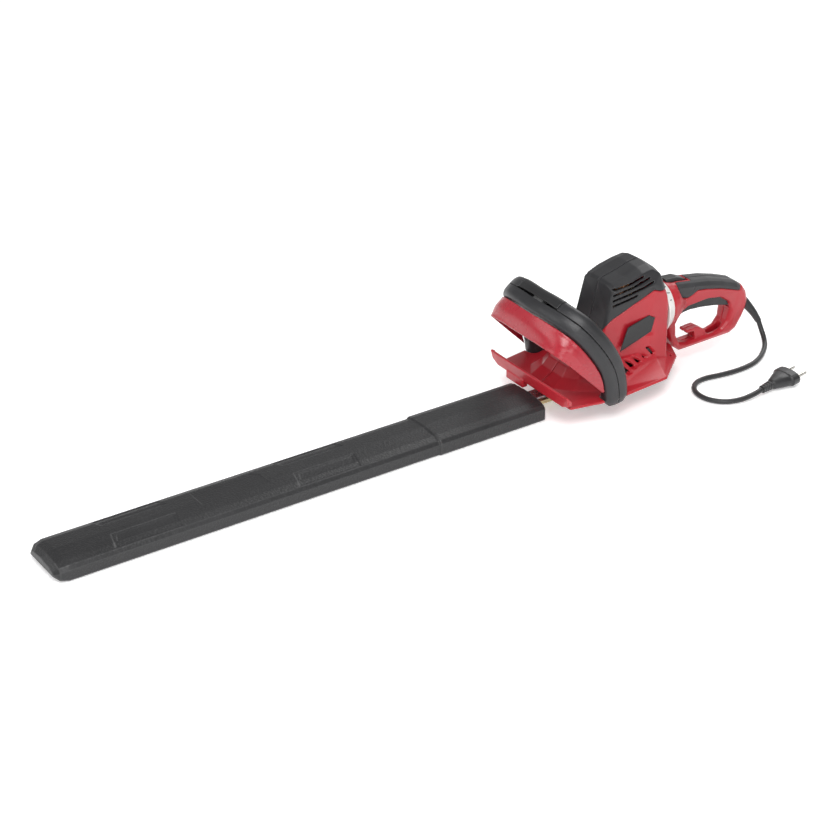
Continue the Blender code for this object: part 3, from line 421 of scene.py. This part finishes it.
# Screw heads on the far side: (node, x, z) in mm
SCREWS = (
    ("housing_right", -34, 62),
    ("housing_right", 26, 48),
    ("housing_right", -20, 112),
    ("motor_cover_right", 30, 114),
    ("rear_handle_right", -74, 62),
    ("rear_handle_right", -188, 62),
    ("rear_handle_right", -180, 27),
    ("rear_handle_right", -98, 20),
)


def screw_head():
    """A round head with a six-lobed socket, its seat at z 0, in metres."""
    profile = ((1.5, 0.2), (1.6, 1.0), (2.5, 1.1), (SCREW_RADIUS, 0.7), (SCREW_RADIUS, -0.4))
    mesh = bmesh.new()
    rings = []
    for radius, height in profile:
        ring = []
        for k in range(SCREW_SIDES):
            turn = 2 * math.pi * k / SCREW_SIDES
            lobe = 1 + 0.18 * math.cos(SCREW_LOBES * turn)
            reach = radius * lobe if radius < SOCKET_RADIUS else radius
            ring.append(mesh.verts.new(Vector((math.cos(turn) * reach, math.sin(turn) * reach, height)) * MM))
        rings.append(ring)
    for inner, outer in zip(rings, rings[1:]):
        for k in range(SCREW_SIDES):
            following = (k + 1) % SCREW_SIDES
            mesh.faces.new((inner[k], outer[k], outer[following], inner[following]))
    mesh.faces.new(rings[0])
    mesh.faces.new(rings[-1][::-1])
    made = bpy.data.meshes.new("screw_head")
    mesh.to_mesh(made)
    mesh.free()
    return made


# Index ring: the x and the radius of its two ends, and the height of its axis, in mm
RING_ENDS = ((-61.8, 32.0), (-47.3, 40.0))
RING_AXIS_Z = 89.0
MARK_TURNS = (-60, -45, -30, 30, 45, 60)
# Where a mark starts and ends across the ring, as shares of its width
LONG_MARK = (0.25, 0.75)
SHORT_MARK = (0.36, 0.64)
MARK_HALF_WIDTH = 0.5
MARK_LIFTS = (-0.4, 0.15)


def index_marks():
    """Plain raised strokes round the index ring, long ones every second place."""
    mesh = bmesh.new()
    (rear_x, rear_r), (front_x, front_r) = RING_ENDS
    for number, turn in enumerate(MARK_TURNS):
        spin = Matrix.Rotation(math.radians(turn), 3, "X")
        start, end = LONG_MARK if number % 2 else SHORT_MARK
        corners = []
        for lift in MARK_LIFTS:
            for share, side in ((start, -1), (start, 1), (end, 1), (end, -1)):
                x = rear_x + share * (front_x - rear_x)
                radius = rear_r + share * (front_r - rear_r) + lift
                place = spin @ Vector((x, side * MARK_HALF_WIDTH, radius)) + Vector((0, 0, RING_AXIS_Z))
                corners.append(mesh.verts.new(place * MM))
        low, high = corners[:4], corners[4:]
        mesh.faces.new(low[::-1])
        mesh.faces.new(high)
        for k in range(4):
            following = (k + 1) % 4
            mesh.faces.new((low[k], low[following], high[following], high[k]))
    bmesh.ops.recalc_face_normals(mesh, faces=mesh.faces)
    made = bpy.data.meshes.new("index_marks")
    mesh.to_mesh(made)
    mesh.free()
    new_piece("index_marks", made, BODY_OF["swivel_ring"], "black_shell")


def screws():
    """Housing screws, each laid square on the far side's surface."""
    for k, (node, x, z) in enumerate(SCREWS):
        surface = NODES[node].data
        corners = [vertex.co for vertex in surface.vertices]
        tree = BVHTree.FromPolygons(corners, [face.vertices for face in surface.polygons])
        point, normal, _, _ = tree.ray_cast(Vector((x, -200, z)) * MM, Vector((0, 1, 0)))
        if point is None:
            raise RuntimeError(f"no surface for a screw at {x}, {z} on {node}")
        mesh = screw_head()
        mesh.transform(normal.to_track_quat("Z", "Y").to_matrix().to_4x4())
        mesh.transform(Matrix.Translation(point))
        new_piece(f"housing_screw_{k + 1}", mesh, BODY_OF[node], "fastener")


# ---------------------------------------------------------------- lead

CORD_RADIUS = 3.3
CORD_SIDES = 20
ROUTE_STEPS = 6
# The lead's route in mm, from the strain relief's tip to the plug's neck
CORD_ROUTE = (
    (-214.5, 21.15, 28.7),
    (-215.3, 23.4, 23.6),
    (-215.3, 26.9, 18.4),
    (-214.0, 32.4, 13.0),
    (-210.4, 39.6, 8.0),
    (-203.2, 47.5, 5.2),
    (-191.5, 56.6, 4.0),
    (-178.5, 64.4, 3.6),
    (-164.0, 70.0, 3.5),
    (-146.0, 72.7, 3.5),
    (-127.0, 72.6, 3.5),
    (-107.8, 70.3, 3.5),
    (-89.4, 67.0, 3.5),
    (-73.3, 68.6, 3.5),
    (-61.5, 76.3, 3.5),
    (-54.3, 88.3, 3.5),
    (-53.0, 102.9, 3.5),
    (-58.1, 116.4, 3.5),
    (-70.1, 127.9, 3.5),
    (-88.2, 134.0, 4.0),
    (-107.2, 135.0, 5.6),
    (-121.0, 133.4, 7.1),
)


def smooth_route(points, steps):
    """Points on a Catmull-Rom curve through the given ones."""
    padded = [points[0] * 2 - points[1], *points, points[-1] * 2 - points[-2]]
    route = []
    for a, b, c, d in zip(padded, padded[1:], padded[2:], padded[3:]):
        linear = c - a
        square = a * 2 - b * 5 + c * 4 - d
        cube = b * 3 - a - c * 3 + d
        for k in range(steps):
            t = k / steps
            route.append((b * 2 + linear * t + square * t**2 + cube * t**3) * 0.5)
    return [*route, points[-1]]


def tube(route, radius, sides):
    """A closed tube along a route, with each ring turned no more than the route turns."""
    mesh = bmesh.new()
    side = (route[1] - route[0]).orthogonal().normalized()
    rings = []
    for i, centre in enumerate(route):
        along = (route[min(i + 1, len(route) - 1)] - route[max(i - 1, 0)]).normalized()
        side = (side - along * side.dot(along)).normalized()
        up = along.cross(side)
        ring = []
        for k in range(sides):
            turn = 2 * math.pi * k / sides
            ring.append(mesh.verts.new(centre + (side * math.cos(turn) + up * math.sin(turn)) * radius))
        rings.append(ring)
    for near, far in zip(rings, rings[1:]):
        for k in range(sides):
            following = (k + 1) % sides
            mesh.faces.new((near[k], near[following], far[following], far[k]))
    mesh.faces.new(rings[0][::-1])
    mesh.faces.new(rings[-1])
    made = bpy.data.meshes.new("tube")
    mesh.to_mesh(made)
    mesh.free()
    made.shade_smooth()
    return made


def lead():
    """The lead as one smooth tube, from the strain relief to the plug."""
    route = smooth_route([Vector(point) * MM for point in CORD_ROUTE], ROUTE_STEPS)
    piece = new_piece("lead", tube(route, CORD_RADIUS * MM, CORD_SIDES), "housing", "flex", ["cord"])


# ---------------------------------------------------------------- stage


FLOOR_HALF = 6.0
FLOOR_GAP = 0.0002
FLOOR_GLOW = 0.34
WORLD_STRENGTH = 0.40
BODY_CENTRE = (0.28, 0.0, 0.08)
SHEATH_CENTRE = (0.4, 0.0, 0.03)
# name: (place, target, size, watts)
LIGHTS = {
    "key_light": ((0.9, 1.2, 2.2), BODY_CENTRE, (1.3, 1.3), 40),
    "fill_light": ((1.9, -0.6, 1.3), BODY_CENTRE, (1.4, 1.4), 12),
    "rear_light": ((-1.6, -0.8, 1.8), BODY_CENTRE, (1.4, 1.4), 24),
    "side_strip": ((0.9, 1.5, 0.55), SHEATH_CENTRE, (2.2, 0.35), 10),
}


def area_light(name, place, target, size, power):
    """A rectangular light at a place, facing its target."""
    data = bpy.data.lights.new(name, "AREA")
    data.shape = "RECTANGLE"
    data.size = size[0]
    data.size_y = size[1]
    data.energy = power
    light = bpy.data.objects.new(name, data)
    bpy.context.scene.collection.objects.link(light)
    light.location = place
    light.rotation_euler = (Vector(target) - Vector(place)).to_track_quat("-Z", "Y").to_euler()


def stage():
    """The pale floor, the even surroundings and the lights."""
    mesh = bpy.data.meshes.new("floor")
    corners = [(x * FLOOR_HALF, y * FLOOR_HALF, 0) for x, y in ((-1, -1), (1, -1), (1, 1), (-1, 1))]
    mesh.from_pydata(corners, [], [(0, 1, 2, 3)])
    floor = bpy.data.objects.new("floor", mesh)
    bpy.context.scene.collection.objects.link(floor)
    floor.location.z = CAD_BOX[0][2] - FLOOR_GAP
    material, nodes, link, shader = node_tree("pale_floor")
    paper = noise(nodes, link, 3.0, 2.0)
    tones = ((0.3, (0.90, 0.90, 0.90)), (0.7, (0.93, 0.93, 0.93)))
    link(ramp(nodes, link, paper, tones), shader.inputs["Base Color"])
    shader.inputs["Roughness"].default_value = 0.9
    shader.inputs["Emission Color"].default_value = (1, 1, 1, 1)
    shader.inputs["Emission Strength"].default_value = FLOOR_GLOW
    mesh.materials.append(material)

    world = bpy.data.worlds.new("studio")
    bpy.context.scene.world = world
    world.use_nodes = True
    background = world.node_tree.nodes["Background"]
    background.inputs["Color"].default_value = (1, 1, 1, 1)
    background.inputs["Strength"].default_value = WORLD_STRENGTH
    for name, settings in LIGHTS.items():
        area_light(name, *settings)


CAMERA_TARGET = (0.311, 0.006, 0.049)
CAMERA_DISTANCE = 2.6
CAMERA_AZIMUTH = 56.0
CAMERA_ELEVATION = 29.0
CAMERA_LENS = 96.6


def camera():
    """The camera, at its distance from the target and facing it."""
    data = bpy.data.cameras.new("camera")
    data.lens = CAMERA_LENS
    data.sensor_width = 36.0
    azimuth, elevation = math.radians(CAMERA_AZIMUTH), math.radians(CAMERA_ELEVATION)
    level = math.cos(elevation)
    back = Vector((level * math.cos(azimuth), level * math.sin(azimuth), math.sin(elevation)))
    eye = bpy.data.objects.new("camera", data)
    bpy.context.scene.collection.objects.link(eye)
    eye.location = Vector(CAMERA_TARGET) + back * CAMERA_DISTANCE
    eye.rotation_euler = (-back).to_track_quat("-Z", "Y").to_euler()
    bpy.context.scene.camera = eye


def main():
    dress_nodes()
    for node, settings in SHELLS.items():
        softened(node, *settings)
    index_marks()
    screws()
    lead()
    stage()
    camera()
    bpy.context.scene.view_settings.view_transform = "Standard"


main()
